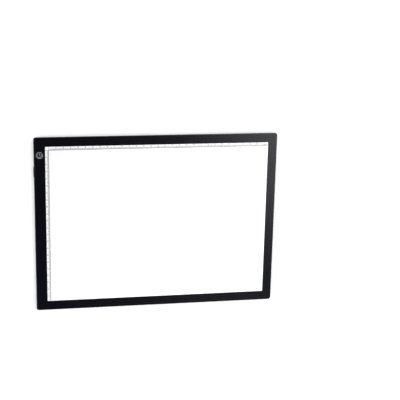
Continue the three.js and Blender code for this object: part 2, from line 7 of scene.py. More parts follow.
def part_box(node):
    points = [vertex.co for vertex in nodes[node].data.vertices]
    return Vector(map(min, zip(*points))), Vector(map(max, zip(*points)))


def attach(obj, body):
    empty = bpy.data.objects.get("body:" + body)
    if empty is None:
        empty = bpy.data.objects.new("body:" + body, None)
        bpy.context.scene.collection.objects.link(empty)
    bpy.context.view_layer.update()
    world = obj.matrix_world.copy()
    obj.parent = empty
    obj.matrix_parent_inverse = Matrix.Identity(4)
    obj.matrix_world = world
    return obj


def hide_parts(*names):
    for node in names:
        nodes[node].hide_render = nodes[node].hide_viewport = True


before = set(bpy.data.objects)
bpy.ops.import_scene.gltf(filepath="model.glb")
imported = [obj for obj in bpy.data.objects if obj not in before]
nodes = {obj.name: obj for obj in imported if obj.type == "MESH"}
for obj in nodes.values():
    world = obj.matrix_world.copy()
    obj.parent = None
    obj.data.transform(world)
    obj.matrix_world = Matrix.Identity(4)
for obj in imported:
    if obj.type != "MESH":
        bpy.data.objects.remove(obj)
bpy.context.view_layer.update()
mm = 0.001  # the scene is in metres; what was measured on the pad is written in millimetres
white = (1.0, 1.0, 1.0, 1.0)
print("frame loaded,", len(nodes), "nodes")


# Camera, nearly overhead from beyond the pad's upper left corner, with a long lens
cameraSetup = {
    "place": (-0.2176, 0.4411, 1.4141),
    "turnDegrees": (-16.234, -10.825, 1.323),
    "lens": 95.6,
    "sensor": 36.0,
}


def addCamera(setup):
    data = bpy.data.cameras.new("camera")
    data.lens = setup["lens"]
    data.sensor_width = setup["sensor"]
    camera = bpy.data.objects.new("camera", data)
    camera.location = setup["place"]
    camera.rotation_euler = [math.radians(angle) for angle in setup["turnDegrees"]]
    bpy.context.scene.collection.objects.link(camera)
    bpy.context.scene.camera = camera


addCamera(cameraSetup)
bpy.context.scene.view_settings.view_transform = "Standard"


# An sRGB hex value as the linear colour that the shaders want
def linear(hexColour):
    channels = [int(hexColour[start:start + 2], 16) / 255 for start in (1, 3, 5)]
    straight = [c / 12.92 if c <= 0.04045 else ((c + 0.055) / 1.055) ** 2.4 for c in channels]
    return (*straight, 1.0)


# Adds a node: settings go to its inputs or properties, a link comes from a node's first output or a socket
def addNode(tree, kind, settings=None, links=None):
    node = tree.nodes.new(kind)
    for name, value in (settings or {}).items():
        if isinstance(name, int) or name in node.inputs:
            node.inputs[name].default_value = value
        else:
            setattr(node, name, value)
    for name, source in (links or {}).items():
        socket = source.outputs[0] if isinstance(source, bpy.types.Node) else source
        tree.links.new(socket, node.inputs[name])
    return node


# Studio: a big soft box to the right, lower ones behind, to the left and in front, and one under the floor.
# The radiance is that of the box's face
lamps = {
    "boxRight": {"place": (1.45, 0.26, 2.07), "size": 1.94, "radiance": 2.35},
    "boxBehind": {"place": (1.36, 1.88, 1.15), "size": 1.8, "radiance": 3.5},
    "boxLeft": {"place": (-1.84, -0.83, 0.95), "size": 1.7, "radiance": 5.0},
    "boxFront": {"place": (0.44, -1.30, 1.41), "size": 0.72, "radiance": 2.3},
    "boxBelow": {"place": (0.90, -0.50, -1.10), "size": 1.4, "radiance": 2.8},
}
coolWhite = "#f8faff"   # the boxes' tubes are a little cooler than daylight


def addLamp(name, setup):
    data = bpy.data.lights.new(name, "AREA")
    data.size = setup["size"]
    data.color = linear(coolWhite)[:3]
    data.energy = setup["radiance"] * math.pi * setup["size"] ** 2
    lamp = bpy.data.objects.new(name, data)
    lamp.location = setup["place"]
    lamp.rotation_euler = (-lamp.location).to_track_quat("-Z", "Y").to_euler()
    bpy.context.scene.collection.objects.link(lamp)


for lampName, lampSetup in lamps.items():
    addLamp(lampName, lampSetup)

# A cove, plain white to the eye. In a mirrored ray it is white round the horizon and dark overhead, so that
# black plastic seen from above stays black
coveSetup = {
    "fadeFrom": 0.14,   # height above the horizon, as a sine, where the white begins to fade
    "fadeTo": 0.32,
    "seenHigh": 0.005,  # what a mirrored ray meets overhead
    "litLow": 0.45,     # light that the cove gives, near the horizon and overhead
    "litHigh": 0.03,
}


# 1 for a ray that should meet the white backdrop: seen, mirrored or let through
def seenRay(tree):
    path = addNode(tree, "ShaderNodeLightPath")
    seenOrGlossy = addNode(tree, "ShaderNodeMath", {"operation": "MAXIMUM"}, {
        0: path.outputs["Is Camera Ray"], 1: path.outputs["Is Glossy Ray"]})
    return addNode(tree, "ShaderNodeMath", {"operation": "MAXIMUM"}, {
        0: seenOrGlossy, 1: path.outputs["Is Transmission Ray"]})


def addCove(setup):
    world = bpy.data.worlds.new("cove")
    world.use_nodes = True
    bpy.context.scene.world = world
    tree = world.node_tree
    tree.nodes.clear()
    direction = addNode(tree, "ShaderNodeTexCoord").outputs["Generated"]
    height = addNode(tree, "ShaderNodeSeparateXYZ", links={0: direction}).outputs["Z"]
    fade = {"From Min": setup["fadeFrom"], "From Max": setup["fadeTo"], "interpolation_type": "SMOOTHSTEP"}
    seen = addNode(tree, "ShaderNodeMapRange", {**fade, "To Min": 1.0, "To Max": setup["seenHigh"]}, {
        "Value": height})
    lit = addNode(tree, "ShaderNodeMapRange", {
        **fade, "To Min": setup["litLow"], "To Max": setup["litHigh"]}, {"Value": height})
    above = addNode(tree, "ShaderNodeMath", {"operation": "GREATER_THAN", 1: 0.0}, {0: height})
    litAbove = addNode(tree, "ShaderNodeMath", {"operation": "MULTIPLY"}, {0: lit, 1: above})
    level = addNode(tree, "ShaderNodeMix", {"data_type": "FLOAT"}, {0: seenRay(tree), 2: litAbove, 3: seen})
    cameraRay = addNode(tree, "ShaderNodeLightPath").outputs["Is Camera Ray"]
    strength = addNode(tree, "ShaderNodeMath", {"operation": "MAXIMUM"}, {0: level, 1: cameraRay})
    light = addNode(tree, "ShaderNodeBackground", {"Color": white}, {"Strength": strength})
    addNode(tree, "ShaderNodeOutputWorld", links={"Surface": light})


addCove(coveSetup)

floorSetup = {
    "halfWidth": 8.0,
    "colour": "#f5f3ef",
    "lift": 0.42,       # for seen rays only: the open floor turns white and the pad's shadow stays
    "liftFrom": 0.5,    # from here to liftTo the lift grows to a full white, where the light falls off
    "liftTo": 1.6,
}


# Painted board, rolled matt: it takes the soft shadow, and is open to a look or a lamp from below
def addFloor(setup):
    material = bpy.data.materials.new("rolledPaintBoard")
    material.use_nodes = True
    tree = material.node_tree
    tree.nodes.clear()
    paint = addNode(tree, "ShaderNodeBsdfDiffuse", {"Color": linear(setup["colour"])})
    own = addNode(tree, "ShaderNodeTexCoord").outputs["Object"]
    away = addNode(tree, "ShaderNodeVectorMath", {"operation": "LENGTH"}, {0: own}).outputs["Value"]
    full = addNode(tree, "ShaderNodeMapRange", {
        "From Min": setup["liftFrom"], "From Max": setup["liftTo"], "To Min": setup["lift"], "To Max": 1.0}, {
        "Value": away})
    lift = addNode(tree, "ShaderNodeMath", {"operation": "MULTIPLY"}, {0: seenRay(tree), 1: full})
    glow = addNode(tree, "ShaderNodeEmission", {"Color": white}, {"Strength": lift})
    board = addNode(tree, "ShaderNodeAddShader", links={0: paint, 1: glow})
    under = addNode(tree, "ShaderNodeNewGeometry").outputs["Backfacing"]
    shadowRay = addNode(tree, "ShaderNodeLightPath").outputs["Is Shadow Ray"]
    isOpen = addNode(tree, "ShaderNodeMath", {"operation": "MAXIMUM"}, {0: under, 1: shadowRay})
    clear = addNode(tree, "ShaderNodeBsdfTransparent", {"Color": white})
    surface = addNode(tree, "ShaderNodeMixShader", links={0: isOpen, 1: board, 2: clear})
    addNode(tree, "ShaderNodeOutputMaterial", links={"Surface": surface})
    half = setup["halfWidth"]
    corners = [(-half, -half, 0), (half, -half, 0), (half, half, 0), (-half, half, 0)]
    mesh = bpy.data.meshes.new("floor")
    mesh.from_pydata(corners, [], [(0, 1, 2, 3)])
    mesh.materials.append(material)
    floor = bpy.data.objects.new("floor", mesh)
    bpy.context.scene.collection.objects.link(floor)


addFloor(floorSetup)
print("studio ready,", len(lamps), "lamps")


# Every material starts here: an empty tree, and the object's own place in millimetres
def newMaterial(name):
    material = bpy.data.materials.new(name)
    material.use_nodes = True
    tree = material.node_tree
    tree.nodes.clear()
    own = addNode(tree, "ShaderNodeTexCoord").outputs["Object"]
    place = addNode(tree, "ShaderNodeVectorMath", {"operation": "SCALE", "Scale": 1 / mm}, {0: own})
    return material, tree, place


# ABS, moulded in a spark-eroded tool: satin black, its even grain breaks each reflection into a soft sheen
def sparkErodedAbs():
    look = {
        "dark": "#05050a", "pale": "#08080f", "ior": 1.54,
        "cloudMm": 40, "roughFrom": 0.19, "roughTo": 0.25,
        "grainMm": 0.8,         # the real grain is about 0.15 mm, drawn coarser so that it shows
        "grainDetail": 4.0, "grainDepthMm": 0.016,
    }
    material, tree, place = newMaterial("sparkErodedAbs")
    cloud = addNode(tree, "ShaderNodeTexNoise", {"Scale": 1 / look["cloudMm"]}, {"Vector": place})
    grain = addNode(tree, "ShaderNodeTexNoise", {
        "Scale": 1 / look["grainMm"], "Detail": look["grainDetail"]}, {"Vector": place})
    colour = addNode(tree, "ShaderNodeMixRGB", {
        "Color1": linear(look["dark"]), "Color2": linear(look["pale"])}, {"Fac": grain})
    roughness = addNode(tree, "ShaderNodeMapRange", {
        "To Min": look["roughFrom"], "To Max": look["roughTo"]}, {"Value": cloud})
    bump = addNode(tree, "ShaderNodeBump", {"Distance": look["grainDepthMm"] * mm}, {"Height": grain})
    shader = addNode(tree, "ShaderNodeBsdfPrincipled", {"IOR": look["ior"]}, {
        "Base Color": colour, "Roughness": roughness, "Normal": bump})
    addNode(tree, "ShaderNodeOutputMaterial", links={"Surface": shader})
    return material


# Opal acrylic, cast with one frosted face: white light without a spot, which grows from the upper left corner
# across the sheet, so that the print fades towards the right
def frostedAcrylic():
    look = {
        "colour": "#ebe9e6", "light": "#ffffff", "ior": 1.49,
        "glowNear": 0.22, "glowFar": 0.6,
        "towards": (1.0, -0.6, 0.0), "reachMm": 310,    # the way in which the glow grows, and how far
        "roughFrom": 0.42, "roughTo": 0.5,
        "frostMm": 0.5,         # the real frosting is about 0.05 mm, too fine to show
        "frostDepthMm": 0.006,
    }
    material, tree, place = newMaterial("frostedAcrylic")
    low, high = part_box("tracing_panel")
    corner = Vector(look["towards"]).dot((low.x, high.y, 0)) / mm
    along = addNode(tree, "ShaderNodeVectorMath", {
        "operation": "DOT_PRODUCT", 1: look["towards"]}, {0: place})
    glow = addNode(tree, "ShaderNodeMapRange", {
        "From Min": corner, "From Max": corner + look["reachMm"],
        "To Min": look["glowNear"], "To Max": look["glowFar"],
    }, {"Value": along.outputs["Value"]})
    frost = addNode(tree, "ShaderNodeTexNoise", {"Scale": 1 / look["frostMm"]}, {"Vector": place})
    roughness = addNode(tree, "ShaderNodeMapRange", {
        "To Min": look["roughFrom"], "To Max": look["roughTo"]}, {"Value": frost})
    bump = addNode(tree, "ShaderNodeBump", {"Distance": look["frostDepthMm"] * mm}, {"Height": frost})
    shader = addNode(tree, "ShaderNodeBsdfPrincipled", {
        "Base Color": linear(look["colour"]), "IOR": look["ior"], "Emission Color": linear(look["light"])}, {
        "Roughness": roughness, "Emission Strength": glow, "Normal": bump})
    addNode(tree, "ShaderNodeOutputMaterial", links={"Surface": shader})
    return material


# Rubber, compression moulded: matt charcoal with a dusty bloom
def mouldedRubber():
    look = {
        "dark": "#141415", "pale": "#222223", "ior": 1.52,
        "bloomMm": 5, "bloomDetail": 5.0, "roughFrom": 0.7, "roughTo": 0.88,
        "grainMm": 0.5, "grainDepthMm": 0.03,
    }
    material, tree, place = newMaterial("mouldedRubber")
    bloom = addNode(tree, "ShaderNodeTexNoise", {
        "Scale": 1 / look["bloomMm"], "Detail": look["bloomDetail"]}, {"Vector": place})
    grain = addNode(tree, "ShaderNodeTexNoise", {"Scale": 1 / look["grainMm"]}, {"Vector": place})
    colour = addNode(tree, "ShaderNodeMixRGB", {
        "Color1": linear(look["dark"]), "Color2": linear(look["pale"])}, {"Fac": bloom})
    roughness = addNode(tree, "ShaderNodeMapRange", {
        "To Min": look["roughFrom"], "To Max": look["roughTo"]}, {"Value": bloom})
    bump = addNode(tree, "ShaderNodeBump", {"Distance": look["grainDepthMm"] * mm}, {"Height": grain})
    shader = addNode(tree, "ShaderNodeBsdfPrincipled", {"IOR": look["ior"]}, {
        "Base Color": colour, "Roughness": roughness, "Normal": bump})
    addNode(tree, "ShaderNodeOutputMaterial", links={"Surface": shader})
    return material


# Paper, coated and stuck on: near white, a faint fibre under a thin sheen
def coatedPaper():
    look = {
        "dark": "#e4e2de", "pale": "#f0efec", "ior": 1.48, "roughFrom": 0.36, "roughTo": 0.5,
        "fibreMm": 0.7, "fibreDetail": 5.0, "fibreCurl": 1.5, "fibreDepthMm": 0.012,
    }
    material, tree, place = newMaterial("coatedPaper")
    fibre = addNode(tree, "ShaderNodeTexNoise", {
        "Scale": 1 / look["fibreMm"], "Detail": look["fibreDetail"], "Distortion": look["fibreCurl"]}, {
        "Vector": place})
    colour = addNode(tree, "ShaderNodeMixRGB", {
        "Color1": linear(look["dark"]), "Color2": linear(look["pale"])}, {"Fac": fibre})
    roughness = addNode(tree, "ShaderNodeMapRange", {
        "To Min": look["roughFrom"], "To Max": look["roughTo"]}, {"Value": fibre})
    bump = addNode(tree, "ShaderNodeBump", {"Distance": look["fibreDepthMm"] * mm}, {"Height": fibre})
    shader = addNode(tree, "ShaderNodeBsdfPrincipled", {"IOR": look["ior"]}, {
        "Base Color": colour, "Roughness": roughness, "Normal": bump})
    addNode(tree, "ShaderNodeOutputMaterial", links={"Surface": shader})
    return material


# Steel sheet, folded and nickel plated: warm grey metal, with drawn streaks along the socket
def platedSteel():
    look = {
        "dark": "#aeaba4", "pale": "#cbc8c1", "roughFrom": 0.22, "roughTo": 0.36,
        "streakMm": 0.25, "stretch": 0.1,       # ten times as long as wide
        "streakDepthMm": 0.003,
    }
    material, tree, place = newMaterial("platedSteel")
    drawn = addNode(tree, "ShaderNodeMapping", {"Scale": (look["stretch"], 1.0, 1.0)}, {"Vector": place})
    streak = addNode(tree, "ShaderNodeTexNoise", {"Scale": 1 / look["streakMm"]}, {"Vector": drawn})
    colour = addNode(tree, "ShaderNodeMixRGB", {
        "Color1": linear(look["dark"]), "Color2": linear(look["pale"])}, {"Fac": streak})
    roughness = addNode(tree, "ShaderNodeMapRange", {
        "To Min": look["roughFrom"], "To Max": look["roughTo"]}, {"Value": streak})
    bump = addNode(tree, "ShaderNodeBump", {"Distance": look["streakDepthMm"] * mm}, {"Height": streak})
    shader = addNode(tree, "ShaderNodeBsdfPrincipled", {"Metallic": 1.0}, {
        "Base Color": colour, "Roughness": roughness, "Normal": bump})
    addNode(tree, "ShaderNodeOutputMaterial", links={"Surface": shader})
    return material


# Bronze strip, gold flashed: bright yellow, dulled here and there by wiping
def goldFlash():
    look = {"dull": "#c79a40", "bright": "#e2bb64", "wipeMm": 0.5, "roughFrom": 0.34, "roughTo": 0.2}
    material, tree, place = newMaterial("goldFlash")
    wipe = addNode(tree, "ShaderNodeTexNoise", {"Scale": 1 / look["wipeMm"]}, {"Vector": place})
    colour = addNode(tree, "ShaderNodeMixRGB", {
        "Color1": linear(look["dull"]), "Color2": linear(look["bright"])}, {"Fac": wipe})
    roughness = addNode(tree, "ShaderNodeMapRange", {
        "To Min": look["roughFrom"], "To Max": look["roughTo"]}, {"Value": wipe})
    shader = addNode(tree, "ShaderNodeBsdfPrincipled", {"Metallic": 1.0}, {
        "Base Color": colour, "Roughness": roughness})
    addNode(tree, "ShaderNodeOutputMaterial", links={"Surface": shader})
    return material


# Nylon with glass fibre, moulded: black, drier and duller than the case
def mouldedNylon():
    look = {
        "dark": "#0e0e0f", "pale": "#19191b", "ior": 1.53,
        "fibreMm": 0.3, "roughFrom": 0.5, "roughTo": 0.62,
    }
    material, tree, place = newMaterial("mouldedNylon")
    fibre = addNode(tree, "ShaderNodeTexNoise", {"Scale": 1 / look["fibreMm"]}, {"Vector": place})
    colour = addNode(tree, "ShaderNodeMixRGB", {
        "Color1": linear(look["dark"]), "Color2": linear(look["pale"])}, {"Fac": fibre})
    roughness = addNode(tree, "ShaderNodeMapRange", {
        "To Min": look["roughFrom"], "To Max": look["roughTo"]}, {"Value": fibre})
    shader = addNode(tree, "ShaderNodeBsdfPrincipled", {"IOR": look["ior"]}, {
        "Base Color": colour, "Roughness": roughness})
    addNode(tree, "ShaderNodeOutputMaterial", links={"Surface": shader})
    return material


# Acrylic, cast, with dots engraved underneath: clear, with a grid of white dots that throw the light up
def engravedAcrylic():
    look = {
        "clear": "#f2f8fa", "dot": "#ffffff", "ior": 1.49,
        "clearRough": 0.03, "dotRough": 0.8,
        "pitchMm": 1.2, "dotMm": 0.65,      # a dot in the middle of each cell
    }
    material, tree, place = newMaterial("engravedAcrylic")
    cells = addNode(tree, "ShaderNodeVectorMath", {
        "operation": "SCALE", "Scale": 1 / look["pitchMm"]}, {0: place})
    cell = addNode(tree, "ShaderNodeVectorMath", {"operation": "FRACTION"}, {0: cells})
    flat = addNode(tree, "ShaderNodeVectorMath", {"operation": "MULTIPLY", 1: (1, 1, 0)}, {0: cell})
    reach = addNode(tree, "ShaderNodeVectorMath", {"operation": "DISTANCE", 1: (0.5, 0.5, 0)}, {0: flat})
    dot = addNode(tree, "ShaderNodeMath", {
        "operation": "LESS_THAN", 1: look["dotMm"] / look["pitchMm"] / 2}, {0: reach.outputs["Value"]})
    sheet = addNode(tree, "ShaderNodeBsdfPrincipled", {
        "Base Color": linear(look["clear"]), "Roughness": look["clearRough"], "IOR": look["ior"],
        "Transmission Weight": 1.0})
    engraving = addNode(tree, "ShaderNodeBsdfPrincipled", {
        "Base Color": linear(look["dot"]), "Roughness": look["dotRough"], "IOR": look["ior"]})
    surface = addNode(tree, "ShaderNodeMixShader", links={0: dot, 1: sheet, 2: engraving})
    addNode(tree, "ShaderNodeOutputMaterial", links={"Surface": surface})
    return material


# Polyester film, voided and rolled: dense white with a faint pearly ripple
def whiteFilm():
    look = {
        "dark": "#ececea", "pale": "#f7f7f5", "ior": 1.6,
        "rippleMm": 12, "roughFrom": 0.32, "roughTo": 0.5,
    }
    material, tree, place = newMaterial("whiteFilm")
    ripple = addNode(tree, "ShaderNodeTexNoise", {"Scale": 1 / look["rippleMm"]}, {"Vector": place})
    colour = addNode(tree, "ShaderNodeMixRGB", {
        "Color1": linear(look["dark"]), "Color2": linear(look["pale"])}, {"Fac": ripple})
    roughness = addNode(tree, "ShaderNodeMapRange", {
        "To Min": look["roughFrom"], "To Max": look["roughTo"]}, {"Value": ripple})
    shader = addNode(tree, "ShaderNodeBsdfPrincipled", {"IOR": look["ior"]}, {
        "Base Color": colour, "Roughness": roughness})
    addNode(tree, "ShaderNodeOutputMaterial", links={"Surface": shader})
    return material


# Acrylic tape on a film, coated both sides: milky, with trapped air as paler specks
def filmTape():
    look = {
        "dark": "#cdc8b9", "pale": "#e6e2d6", "ior": 1.47,
        "speckMm": 0.8, "speckDetail": 6.0, "roughFrom": 0.3, "roughTo": 0.6,
    }
    material, tree, place = newMaterial("filmTape")
    air = addNode(tree, "ShaderNodeTexNoise", {
        "Scale": 1 / look["speckMm"], "Detail": look["speckDetail"]}, {"Vector": place})
    colour = addNode(tree, "ShaderNodeMixRGB", {
        "Color1": linear(look["dark"]), "Color2": linear(look["pale"])}, {"Fac": air})
    roughness = addNode(tree, "ShaderNodeMapRange", {
        "To Min": look["roughFrom"], "To Max": look["roughTo"]}, {"Value": air})
    shader = addNode(tree, "ShaderNodeBsdfPrincipled", {"IOR": look["ior"]}, {
        "Base Color": colour, "Roughness": roughness})
    addNode(tree, "ShaderNodeOutputMaterial", links={"Surface": shader})
    return material


# Glass-epoxy laminate under green solder mask: copper shows through as paler, slightly raised tracks
def maskedLaminate():
    look = {
        "mask": "#17462b", "track": "#22663b", "rough": 0.35, "ior": 1.55,
        "pitchMm": 1.3, "trackShare": 0.32, "raiseMm": 0.03,
    }
    material, tree, place = newMaterial("maskedLaminate")
    cells = addNode(tree, "ShaderNodeTexVoronoi", {
        "voronoi_dimensions": "2D", "distance": "CHEBYCHEV", "Scale": 1 / look["pitchMm"]}, {"Vector": place})
    track = addNode(tree, "ShaderNodeMath", {"operation": "GREATER_THAN", 1: look["trackShare"]}, {0: cells})
    colour = addNode(tree, "ShaderNodeMixRGB", {
        "Color1": linear(look["mask"]), "Color2": linear(look["track"])}, {"Fac": track})
    bump = addNode(tree, "ShaderNodeBump", {"Distance": look["raiseMm"] * mm}, {"Height": track})
    shader = addNode(tree, "ShaderNodeBsdfPrincipled", {"Roughness": look["rough"], "IOR": look["ior"]}, {
        "Base Color": colour, "Normal": bump})
    addNode(tree, "ShaderNodeOutputMaterial", links={"Surface": shader})
    return material


# Flexible laminate with soldered LEDs: white carrier, a yellow phosphor window in each lamp's face
def ledLaminate():
    look = {
        "carrier": "#efece0", "phosphor": "#e6c53a", "rough": 0.45, "ior": 1.5,
        "faceMm": 0.06,         # how deep the phosphor reaches behind the lamps' faces
        "pitchMm": 6, "windowMm": 2.6,
    }
    material, tree, place = newMaterial("ledLaminate")
    low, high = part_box("led_strip")
    axes = addNode(tree, "ShaderNodeSeparateXYZ", links={0: place})
    face = addNode(tree, "ShaderNodeMath", {"operation": "GREATER_THAN", 1: high.x / mm - look["faceMm"]}, {
        0: axes.outputs["X"]})
    along = addNode(tree, "ShaderNodeMath", {"operation": "SUBTRACT", 1: low.y / mm}, {0: axes.outputs["Y"]})
    inPitch = addNode(tree, "ShaderNodeMath", {"operation": "MODULO", 1: look["pitchMm"]}, {0: along})
    offset = addNode(tree, "ShaderNodeMath", {"operation": "SUBTRACT", 1: look["pitchMm"] / 2}, {0: inPitch})
    away = addNode(tree, "ShaderNodeMath", {"operation": "ABSOLUTE"}, {0: offset})
    window = addNode(tree, "ShaderNodeMath", {"operation": "LESS_THAN", 1: look["windowMm"] / 2}, {0: away})
    phosphor = addNode(tree, "ShaderNodeMath", {"operation": "MULTIPLY"}, {0: face, 1: window})
    colour = addNode(tree, "ShaderNodeMixRGB", {
        "Color1": linear(look["carrier"]), "Color2": linear(look["phosphor"])}, {"Fac": phosphor})
    shader = addNode(tree, "ShaderNodeBsdfPrincipled", {
        "Roughness": look["rough"], "IOR": look["ior"]}, {"Base Color": colour})
    addNode(tree, "ShaderNodeOutputMaterial", links={"Surface": shader})
    return material


# Copper, etched and left bare: pink brown, with a darker bloom
def etchedCopper():
    look = {"dark": "#a9643f", "pale": "#c98a63", "bloomMm": 2.5, "roughFrom": 0.45, "roughTo": 0.25}
    material, tree, place = newMaterial("etchedCopper")
    bloom = addNode(tree, "ShaderNodeTexNoise", {"Scale": 1 / look["bloomMm"]}, {"Vector": place})
    colour = addNode(tree, "ShaderNodeMixRGB", {
        "Color1": linear(look["dark"]), "Color2": linear(look["pale"])}, {"Fac": bloom})
    roughness = addNode(tree, "ShaderNodeMapRange", {
        "To Min": look["roughFrom"], "To Max": look["roughTo"]}, {"Value": bloom})
    shader = addNode(tree, "ShaderNodeBsdfPrincipled", {"Metallic": 1.0}, {
        "Base Color": colour, "Roughness": roughness})
    addNode(tree, "ShaderNodeOutputMaterial", links={"Surface": shader})
    return material


# Chip in moulded epoxy, its legs tinned: dull black body, bright feet
def mouldedEpoxy():
    look = {
        "body": "#17181a", "tin": "#b9bbbd", "ior": 1.55,
        "halfBodyMm": 0.82,     # beyond this from the middle come the legs
        "grainMm": 0.2, "roughFrom": 0.4, "roughTo": 0.6,
    }
    material, tree, place = newMaterial("mouldedEpoxy")
    low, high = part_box("touch_chip")
    axes = addNode(tree, "ShaderNodeSeparateXYZ", links={0: place})
    across = addNode(tree, "ShaderNodeMath", {"operation": "SUBTRACT", 1: (low.x + high.x) / 2 / mm}, {
        0: axes.outputs["X"]})
    away = addNode(tree, "ShaderNodeMath", {"operation": "ABSOLUTE"}, {0: across})
    leg = addNode(tree, "ShaderNodeMath", {"operation": "GREATER_THAN", 1: look["halfBodyMm"]}, {0: away})
    grain = addNode(tree, "ShaderNodeTexNoise", {"Scale": 1 / look["grainMm"]}, {"Vector": place})
    colour = addNode(tree, "ShaderNodeMixRGB", {
        "Color1": linear(look["body"]), "Color2": linear(look["tin"])}, {"Fac": leg})
    roughness = addNode(tree, "ShaderNodeMapRange", {
        "To Min": look["roughFrom"], "To Max": look["roughTo"]}, {"Value": grain})
    shader = addNode(tree, "ShaderNodeBsdfPrincipled", {"IOR": look["ior"]}, {
        "Base Color": colour, "Metallic": leg, "Roughness": roughness})
    addNode(tree, "ShaderNodeOutputMaterial", links={"Surface": shader})
    return material


# Ceramic, fired, its ends tinned: a tan block between two metal caps
def firedCeramic():
    look = {"body": "#a98a62", "tin": "#b9bbbd", "capMm": 0.5, "rough": 0.4, "ior": 1.6}
    material, tree, place = newMaterial("firedCeramic")
    low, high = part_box("input_capacitor")
    axes = addNode(tree, "ShaderNodeSeparateXYZ", links={0: place})
    along = addNode(tree, "ShaderNodeMath", {"operation": "SUBTRACT", 1: (low.y + high.y) / 2 / mm}, {
        0: axes.outputs["Y"]})
    away = addNode(tree, "ShaderNodeMath", {"operation": "ABSOLUTE"}, {0: along})
    cap = addNode(tree, "ShaderNodeMath", {
        "operation": "GREATER_THAN", 1: (high.y - low.y) / 2 / mm - look["capMm"]}, {0: away})
    colour = addNode(tree, "ShaderNodeMixRGB", {
        "Color1": linear(look["body"]), "Color2": linear(look["tin"])}, {"Fac": cap})
    shader = addNode(tree, "ShaderNodeBsdfPrincipled", {"Roughness": look["rough"], "IOR": look["ior"]}, {
        "Base Color": colour, "Metallic": cap})
    addNode(tree, "ShaderNodeOutputMaterial", links={"Surface": shader})
    return material


# PVC, extruded over wire: smooth and waxy, with faint draw marks
def extrudedPvc(name, dark, pale):
    look = {"drawMm": 1.2, "roughFrom": 0.34, "roughTo": 0.5, "ior": 1.53}
    material, tree, place = newMaterial(name)
    draw = addNode(tree, "ShaderNodeTexNoise", {"Scale": 1 / look["drawMm"]}, {"Vector": place})
    colour = addNode(tree, "ShaderNodeMixRGB", {
        "Color1": linear(dark), "Color2": linear(pale)}, {"Fac": draw})
    roughness = addNode(tree, "ShaderNodeMapRange", {
        "To Min": look["roughFrom"], "To Max": look["roughTo"]}, {"Value": draw})
    shader = addNode(tree, "ShaderNodeBsdfPrincipled", {"IOR": look["ior"]}, {
        "Base Color": colour, "Roughness": roughness})
    addNode(tree, "ShaderNodeOutputMaterial", links={"Surface": shader})
    return material


# Ink, screen printed on the panel: dull, a little paler where the mesh left it thin
def screenInk():
    look = {
        "dark": "#303032", "pale": "#424245", "ior": 1.5,
        "thinMm": 1.5, "roughFrom": 0.55, "roughTo": 0.7,
    }
    material, tree, place = newMaterial("screenInk")
    thin = addNode(tree, "ShaderNodeTexNoise", {"Scale": 1 / look["thinMm"]}, {"Vector": place})
    colour = addNode(tree, "ShaderNodeMixRGB", {
        "Color1": linear(look["dark"]), "Color2": linear(look["pale"])}, {"Fac": thin})
    roughness = addNode(tree, "ShaderNodeMapRange", {
        "To Min": look["roughFrom"], "To Max": look["roughTo"]}, {"Value": thin})
    shader = addNode(tree, "ShaderNodeBsdfPrincipled", {"IOR": look["ior"]}, {
        "Base Color": colour, "Roughness": roughness})
    addNode(tree, "ShaderNodeOutputMaterial", links={"Surface": shader})
    return material


# Ink, pad printed on the grained bezel: pale grey, and matt because it follows the grain
def padInk():
    look = {
        "dark": "#b8babe", "pale": "#ccced2", "ior": 1.5, "roughFrom": 0.5, "roughTo": 0.62,
        "grainMm": 0.8, "grainDepthMm": 0.01,   # the bezel's grain, half filled
    }
    material, tree, place = newMaterial("padInk")
    grain = addNode(tree, "ShaderNodeTexNoise", {"Scale": 1 / look["grainMm"]}, {"Vector": place})
    colour = addNode(tree, "ShaderNodeMixRGB", {
        "Color1": linear(look["dark"]), "Color2": linear(look["pale"])}, {"Fac": grain})
    roughness = addNode(tree, "ShaderNodeMapRange", {
        "To Min": look["roughFrom"], "To Max": look["roughTo"]}, {"Value": grain})
    bump = addNode(tree, "ShaderNodeBump", {"Distance": look["grainDepthMm"] * mm}, {"Height": grain})
    shader = addNode(tree, "ShaderNodeBsdfPrincipled", {"IOR": look["ior"]}, {
        "Base Color": colour, "Roughness": roughness, "Normal": bump})
    addNode(tree, "ShaderNodeOutputMaterial", links={"Surface": shader})
    return material


blackAbs = sparkErodedAbs()
film = whiteFilm()
tape = filmTape()
epoxy = mouldedEpoxy()
finishes = {
    "front_bezel": blackAbs,
    "back_cover": blackAbs,
    "tracing_panel": frostedAcrylic(),
    "diffuser_film": film,
    "light_guide": engravedAcrylic(),
    "reflector_sheet": film,
    "edge_reflector": film,
    "panel_tape": tape,
    "board_tape": tape,
    "led_strip": ledLaminate(),
    "control_board": maskedLaminate(),
    "touch_electrode": etchedCopper(),
    "touch_chip": epoxy,
    "driver_chip": epoxy,
    "input_capacitor": firedCeramic(),
    "socket_shell": platedSteel(),
    "socket_insulator": mouldedNylon(),
    "socket_contact": goldFlash(),
    "lead_positive": extrudedPvc("extrudedRedPvc", "#a01818", "#b82020"),
    "lead_negative": extrudedPvc("extrudedBlackPvc", "#131314", "#1c1c1e"),
    "foot": mouldedRubber(),
    "rating_label": coatedPaper(),
}
for nodeName, node in nodes.items():
    start = next(start for start in finishes if nodeName.startswith(start))
    node.data.materials.clear()
    node.data.materials.append(finishes[start])
print("materials on", len(nodes), "nodes")


# Moulded, extruded and folded pieces: soft shading round their curved edges, crisp at their true corners
softenSetup = {
    "seamMm": 0.001,        # vertices nearer than this are one
    "cornerDegrees": 32,    # an edge that turns by more stays crisp
    "starts": ("front_bezel", "back_cover", "lead", "foot"),
}


